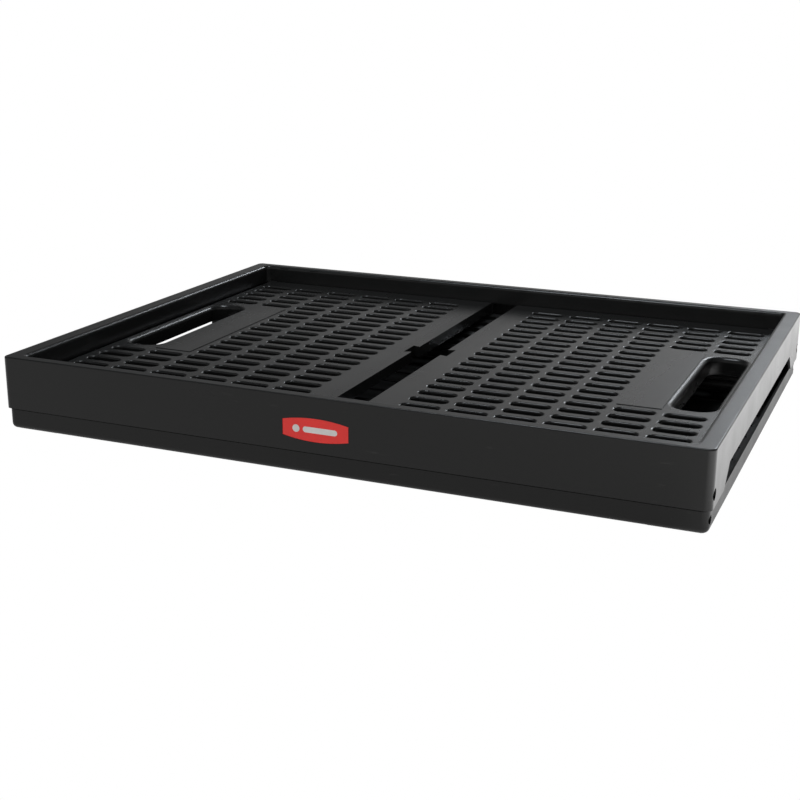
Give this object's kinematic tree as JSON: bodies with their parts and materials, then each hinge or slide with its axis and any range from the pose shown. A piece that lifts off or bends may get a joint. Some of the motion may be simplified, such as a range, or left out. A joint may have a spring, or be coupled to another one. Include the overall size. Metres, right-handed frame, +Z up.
{
  "type": "folding crate",
  "caption": "Collapsible plastic crate folded flat: base tray, deep top frame, long walls hinged at bottom, middle and top, and slotted end walls with grip holes.",
  "frame": {"origin": "middle of the footprint, on the surface that the crate stands on", "axes": "+X along the long sides, +Y from the side with the badge to the back, +Z up"},
  "size_m": [0.53, 0.4, 0.057],
  "materials": {
    "crate_plastic": "black moulded polypropylene with a fine satin grain",
    "rod_plastic": "smooth black extruded rod",
    "badge_plastic": "red satin plate with a plain pale border"
  },
  "bodies": {
    "base": {"base_tray": "crate_plastic", "base_rod_front": "rod_plastic", "base_rod_back": "rod_plastic"},
    "lower_front": {"lower_wall_front": "crate_plastic", "middle_rod_front": "rod_plastic"},
    "upper_front": {"upper_wall_front": "crate_plastic", "frame_rod_front": "rod_plastic"},
    "frame": {"top_frame": "crate_plastic", "badge_plate": "badge_plastic"},
    "lower_back": {"lower_wall_back": "crate_plastic", "middle_rod_back": "rod_plastic"},
    "upper_back": {"upper_wall_back": "crate_plastic", "frame_rod_back": "rod_plastic"},
    "left_end": {"end_wall_left": "crate_plastic"},
    "right_end": {"end_wall_right": "crate_plastic"}
  },
  "joints": [
    {"name": "front_bottom_hinge", "type": "hinge", "parent": "base", "child": "lower_front", "pos_m": [0, -0.1931, 0.0096], "axis": [1, 0, 0], "range_deg": [0, 85.67]},
    {"name": "front_middle_hinge", "type": "hinge", "parent": "lower_front", "child": "upper_front", "pos_m": [0, -0.08142, 0.01805], "axis": [1, 0, 0], "range_deg": [-171.35, 0]},
    {"name": "front_top_hinge", "type": "hinge", "parent": "upper_front", "child": "frame", "pos_m": [0, -0.1931, 0.0265], "axis": [1, 0, 0], "range_deg": [0, 85.67]},
    {"name": "back_bottom_hinge", "type": "hinge", "parent": "base", "child": "lower_back", "pos_m": [0, 0.1931, 0.0096], "axis": [-1, 0, 0], "range_deg": [0, 85.67]},
    {"name": "back_middle_hinge", "type": "hinge", "parent": "lower_back", "child": "upper_back", "pos_m": [0, 0.08142, 0.01805], "axis": [-1, 0, 0], "range_deg": [-171.35, 0]},
    {"name": "left_end_hinge", "type": "hinge", "parent": "frame", "child": "left_end", "pos_m": [-0.245, 0, 0.0375], "axis": [0, -1, 0], "range_deg": [0, 90]},
    {"name": "right_end_hinge", "type": "hinge", "parent": "frame", "child": "right_end", "pos_m": [0.245, 0, 0.0375], "axis": [0, 1, 0], "range_deg": [0, 90]}
  ],
  "couplings": [
    {"joint": "front_middle_hinge", "follows": "front_bottom_hinge", "ratio": -2},
    {"joint": "front_top_hinge", "follows": "front_bottom_hinge", "ratio": 1},
    {"joint": "back_bottom_hinge", "follows": "front_bottom_hinge", "ratio": 1},
    {"joint": "back_middle_hinge", "follows": "front_bottom_hinge", "ratio": -2}
  ]
}
